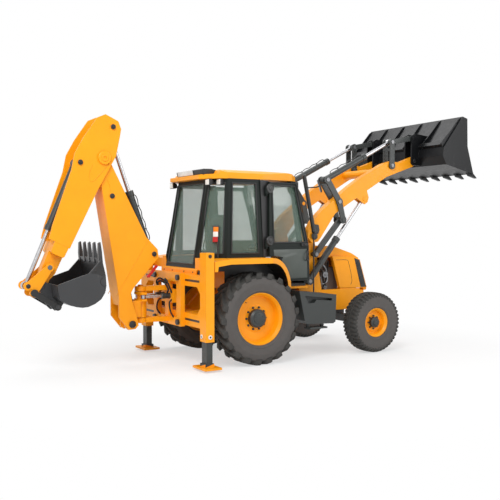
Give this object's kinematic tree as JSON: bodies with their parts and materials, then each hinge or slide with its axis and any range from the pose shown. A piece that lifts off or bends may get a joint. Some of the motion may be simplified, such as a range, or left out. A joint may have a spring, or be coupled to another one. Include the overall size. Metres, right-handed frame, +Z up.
{
  "type": "backhoe loader",
  "caption": "Wheeled backhoe loader with a glazed cab, raised front loader arms and bucket, a slewing rear boom and dipper with a toothed bucket, and two stabiliser legs.",
  "frame": {"origin": "on the ground under the middle of the bounding box", "axes": "+X forward to the loader bucket, +Y to the machine's left, +Z up"},
  "size_m": [7.4466, 2.44, 3.8585],
  "materials": {
    "painted": "gloss",
    "dark_paint": "satin",
    "black_paint": "satin",
    "rubber": "matte",
    "rod_chrome": "polished",
    "cab_glass": "clear",
    "trim": "matte",
    "pin_steel": "brushed",
    "lens": "gloss"
  },
  "bodies": {
    "chassis": {"main_frame": "painted", "rear_frame": "painted", "rear_axle": "painted", "front_axle": "black_paint", "engine": "dark_paint", "cab_frame": "dark_paint", "cab_roof": "painted", "cab_lower": "painted", "cab_glass": "cab_glass", "cab_interior": "trim", "side_tanks": "dark_paint", "lamps": "lens", "mirrors": "trim", "exhaust": "black_paint"},
    "bonnet": {"bonnet": "painted"},
    "door_left": {"door_l": "dark_paint", "door_glass_l": "cab_glass"},
    "door_right": {"door_r": "dark_paint", "door_glass_r": "cab_glass"},
    "knuckle_left": {"knuckle_l": "black_paint"},
    "knuckle_right": {"knuckle_r": "black_paint"},
    "front_wheel_left": {"front_tyre_l": "rubber", "front_rim_l": "painted"},
    "front_wheel_right": {"front_tyre_r": "rubber", "front_rim_r": "painted"},
    "rear_wheel_left": {"rear_tyre_l": "rubber", "rear_rim_l": "painted"},
    "rear_wheel_right": {"rear_tyre_r": "rubber", "rear_rim_r": "painted"},
    "stabiliser_left": {"stab_leg_l": "dark_paint"},
    "stabiliser_right": {"stab_leg_r": "dark_paint"},
    "arms": {"loader_arms": "painted"},
    "bellcranks": {"loader_bellcranks": "black_paint"},
    "level_links": {"loader_level_links": "black_paint"},
    "tilt_pins": {"loader_tilt_pins": "pin_steel"},
    "tilt_barrels": {"loader_tilt_barrels": "painted"},
    "tilt_rods": {"loader_tilt_rods": "rod_chrome"},
    "lever_pins": {"loader_lever_pins": "pin_steel"},
    "levers": {"loader_levers": "black_paint"},
    "link_pins": {"loader_link_pins": "pin_steel"},
    "bucket_link_bars": {"loader_bucket_links": "black_paint"},
    "bucket_pins": {"loader_bucket_pins": "pin_steel"},
    "front_bucket": {"loader_bucket": "dark_paint"},
    "lift_barrels": {"loader_lift_barrels": "painted"},
    "lift_rods": {"loader_lift_rods": "rod_chrome"},
    "carriage": {"carriage": "painted"},
    "slew_rod_left": {"slew_rod_l": "rod_chrome"},
    "slew_rod_right": {"slew_rod_r": "rod_chrome"},
    "kingpost": {"kingpost": "painted"},
    "boom": {"boom": "painted"},
    "boom_barrel": {"boom_barrel": "painted"},
    "boom_rod": {"boom_rod": "rod_chrome"},
    "dipper": {"dipper": "painted"},
    "dipper_barrel": {"dipper_barrel": "painted"},
    "dipper_rod": {"dipper_rod": "rod_chrome"},
    "curl_barrel": {"bucket_barrel": "painted"},
    "curl_rod": {"bucket_rod": "rod_chrome"},
    "curl_levers": {"bucket_levers": "painted"},
    "curl_links": {"bucket_links": "painted"},
    "digging_bucket": {"backhoe_bucket": "black_paint"}
  },
  "joints": [
    {"name": "rear_wheel_left", "type": "hinge", "parent": "chassis", "child": "rear_wheel_left", "pos_m": [-0.60271, 0.9, 0.67], "axis": [0, 1, 0], "continuous": true},
    {"name": "rear_wheel_right", "type": "hinge", "parent": "chassis", "child": "rear_wheel_right", "pos_m": [-0.60271, -0.9, 0.67], "axis": [0, 1, 0], "continuous": true},
    {"name": "steer_right", "type": "hinge", "parent": "chassis", "child": "knuckle_right", "pos_m": [1.56729, -0.795, 0.4775], "axis": [0, 0, 1], "range_deg": [-40, 40]},
    {"name": "steer_left", "type": "hinge", "parent": "chassis", "child": "knuckle_left", "pos_m": [1.56729, 0.795, 0.4775], "axis": [0, 0, 1], "range_deg": [-40, 40]},
    {"name": "front_wheel_left", "type": "hinge", "parent": "knuckle_left", "child": "front_wheel_left", "pos_m": [1.56729, 0.95, 0.4775], "axis": [0, 1, 0], "continuous": true},
    {"name": "front_wheel_right", "type": "hinge", "parent": "knuckle_right", "child": "front_wheel_right", "pos_m": [1.56729, -0.95, 0.4775], "axis": [0, 1, 0], "continuous": true},
    {"name": "bonnet_tip", "type": "hinge", "parent": "chassis", "child": "bonnet", "pos_m": [1.91729, 0, 0.962], "axis": [0, 1, 0], "range_deg": [0, 55]},
    {"name": "door_left", "type": "hinge", "parent": "chassis", "child": "door_left", "pos_m": [-0.36221, 0.85169, 2.1], "axis": [0, 0, 1], "range_deg": [0, 95]},
    {"name": "door_right", "type": "hinge", "parent": "chassis", "child": "door_right", "pos_m": [-0.36221, -0.85169, 2.1], "axis": [0, 0, -1], "range_deg": [0, 95]},
    {"name": "stabiliser_left", "type": "slide", "parent": "chassis", "child": "stabiliser_left", "axis": [0, 0, 1], "range_m": [-0.12, 0.26]},
    {"name": "stabiliser_right", "type": "slide", "parent": "chassis", "child": "stabiliser_right", "axis": [0, 0, 1], "range_m": [-0.12, 0.26]},
    {"name": "loader_lift", "type": "hinge", "parent": "chassis", "child": "arms", "pos_m": [0.70729, 0, 1.85], "axis": [0, -1, 0], "range_deg": [-70, 8.5]},
    {"name": "bellcrank_level", "type": "hinge", "parent": "arms", "child": "bellcranks", "pos_m": [1.20289, 0, 2.40033], "axis": [0, -1, 0], "range_deg": [-8.51, 70.01]},
    {"name": "level_link_swing", "type": "hinge", "parent": "chassis", "child": "level_links", "pos_m": [0.78229, 0, 1.56], "axis": [0, -1, 0], "range_deg": [-70.01, 8.51]},
    {"name": "tilt_pin_swing", "type": "hinge", "parent": "bellcranks", "child": "tilt_pins", "pos_m": [0.96289, 0, 2.74533], "axis": [0, -1, 0], "range_deg": [-59.14, 7.19]},
    {"name": "loader_tilt", "type": "hinge", "parent": "bucket_pins", "child": "front_bucket", "pos_m": [2.81833, 0, 3.12849], "axis": [0, -1, 0], "range_deg": [-45, 40]},
    {"name": "tilt_ram_swing", "type": "hinge", "parent": "tilt_pins", "child": "tilt_barrels", "pos_m": [0.96289, 0, 2.74533], "axis": [0, -1, 0], "range_deg": [-2.26, 2.01]},
    {"name": "tilt_ram_stroke", "type": "slide", "parent": "tilt_barrels", "child": "tilt_rods", "axis": [0.8938, 0, 0.4484], "range_m": [-0.23045, 0.2592]},
    {"name": "lever_pin_level", "type": "hinge", "parent": "arms", "child": "lever_pins", "pos_m": [2.31881, 0, 3.03056], "axis": [0, -1, 0], "range_deg": [-8.51, 70.01]},
    {"name": "lever_swing", "type": "hinge", "parent": "lever_pins", "child": "levers", "pos_m": [2.31881, 0, 3.03056], "axis": [0, -1, 0], "range_deg": [-45.01, 40.01]},
    {"name": "link_pin_level", "type": "hinge", "parent": "levers", "child": "link_pins", "pos_m": [2.31881, 0, 3.42556], "axis": [0, -1, 0], "range_deg": [-40.01, 45.01]},
    {"name": "bucket_link_swing", "type": "hinge", "parent": "link_pins", "child": "bucket_link_bars", "pos_m": [2.31881, 0, 3.42556], "axis": [0, -1, 0], "range_deg": [-70.01, 8.51]},
    {"name": "bucket_pin_level", "type": "hinge", "parent": "arms", "child": "bucket_pins", "pos_m": [2.81833, 0, 3.12849], "axis": [0, -1, 0], "range_deg": [-8.51, 70.01]},
    {"name": "lift_ram_swing", "type": "hinge", "parent": "chassis", "child": "lift_barrels", "pos_m": [0.65829, 0, 1.137], "axis": [0, -1, 0], "range_deg": [-53.63, 6.52]},
    {"name": "lift_ram_stroke", "type": "slide", "parent": "lift_barrels", "child": "lift_rods", "axis": [0.6354, 0, 0.7722], "range_m": [-0.69689, 0.08506]},
    {"name": "sideshift", "type": "slide", "parent": "chassis", "child": "carriage", "axis": [0, 1, 0], "range_m": [-0.44, 0.44]},
    {"name": "slew", "type": "hinge", "parent": "carriage", "child": "kingpost", "pos_m": [-2.00271, 0, 0.98], "axis": [0, 0, -1], "range_deg": [-90, 90]},
    {"name": "slew_ram_left", "type": "slide", "parent": "carriage", "child": "slew_rod_left", "axis": [1, 0, 0], "range_m": [-0.12816, 0.12816]},
    {"name": "slew_ram_right", "type": "slide", "parent": "carriage", "child": "slew_rod_right", "axis": [1, 0, 0], "range_m": [-0.12816, 0.12816]},
    {"name": "boom_swing", "type": "hinge", "parent": "kingpost", "child": "boom", "pos_m": [-2.20371, 0, 0.603], "axis": [0, 1, 0], "range_deg": [-135, 5]},
    {"name": "boom_ram_swing", "type": "hinge", "parent": "kingpost", "child": "boom_barrel", "pos_m": [-2.17371, 0, 0.853], "axis": [0, 1, 0], "range_deg": [-135.94, 5.04]},
    {"name": "boom_ram_stroke", "type": "slide", "parent": "boom_barrel", "child": "boom_rod", "axis": [-0.1999, 0, 0.9798], "range_m": [-0.0177, 0.46482]},
    {"name": "dipper_swing", "type": "hinge", "parent": "boom", "child": "dipper", "pos_m": [-2.61769, 0, 2.95078], "axis": [0, -1, 0], "range_deg": [-112, 5]},
    {"name": "dipper_ram_swing", "type": "hinge", "parent": "boom", "child": "dipper_barrel", "pos_m": [-1.86191, 0, 1.60152], "axis": [0, -1, 0], "range_deg": [-0.06, 1.06]},
    {"name": "dipper_ram_stroke", "type": "slide", "parent": "dipper_barrel", "child": "dipper_rod", "axis": [-0.3316, 0, 0.9434], "range_m": [-0.75672, 0.03426]},
    {"name": "bucket_curl", "type": "hinge", "parent": "dipper", "child": "digging_bucket", "pos_m": [-3.47118, 0, 1.18526], "axis": [0, -1, 0], "range_deg": [-160, 8]},
    {"name": "curl_ram_swing", "type": "hinge", "parent": "dipper", "child": "curl_barrel", "pos_m": [-2.96286, 0, 2.87551], "axis": [0, -1, 0], "range_deg": [-4.93, 0.26]},
    {"name": "curl_ram_stroke", "type": "slide", "parent": "curl_barrel", "child": "curl_rod", "axis": [-0.3874, 0, -0.9219], "range_m": [-0.58574, 0.02976]},
    {"name": "curl_lever_swing", "type": "hinge", "parent": "dipper", "child": "curl_levers", "pos_m": [-3.37132, 0, 1.44466], "axis": [0, -1, 0], "range_deg": [-104.01, 5.21]},
    {"name": "curl_link_swing", "type": "hinge", "parent": "digging_bucket", "child": "curl_links", "pos_m": [-3.27431, 0, 0.90765], "axis": [0, -1, 0], "range_deg": [-4.32, 86.24]}
  ],
  "couplings": [
    {"joint": "steer_left", "follows": "steer_right", "ratio": 1},
    {"joint": "bellcrank_level", "follows": "loader_lift", "ratio": -1},
    {"joint": "level_link_swing", "follows": "loader_lift", "ratio": 1},
    {"joint": "tilt_pin_swing", "follows": "loader_lift", "ratio": 0.84469},
    {"joint": "tilt_ram_swing", "follows": "loader_tilt", "ratio": 0.05},
    {"joint": "tilt_ram_stroke", "follows": "loader_tilt", "m_per_rad": -0.32938},
    {"joint": "lever_pin_level", "follows": "loader_lift", "ratio": -1},
    {"joint": "lever_swing", "follows": "loader_tilt", "ratio": 1},
    {"joint": "link_pin_level", "follows": "loader_tilt", "ratio": -1},
    {"joint": "bucket_link_swing", "follows": "loader_lift", "ratio": 1},
    {"joint": "bucket_pin_level", "follows": "loader_lift", "ratio": -1},
    {"joint": "lift_ram_swing", "follows": "loader_lift", "ratio": 0.76608},
    {"joint": "lift_ram_stroke", "follows": "loader_lift", "m_per_rad": 0.57},
    {"joint": "slew_ram_left", "follows": "slew", "m_per_rad": 0.08127},
    {"joint": "slew_ram_right", "follows": "slew", "m_per_rad": -0.08127},
    {"joint": "boom_ram_swing", "follows": "boom_swing", "ratio": 1.0069},
    {"joint": "boom_ram_stroke", "follows": "boom_swing", "m_per_rad": -0.19706},
    {"joint": "dipper_ram_swing", "follows": "dipper_swing", "ratio": -0.009387},
    {"joint": "dipper_ram_stroke", "follows": "dipper_swing", "m_per_rad": 0.38686},
    {"joint": "curl_ram_swing", "follows": "bucket_curl", "ratio": 0.030774},
    {"joint": "curl_ram_stroke", "follows": "bucket_curl", "m_per_rad": 0.20958},
    {"joint": "curl_lever_swing", "follows": "bucket_curl", "ratio": 0.64999},
    {"joint": "curl_link_swing", "follows": "bucket_curl", "ratio": -0.53894}
  ]
}
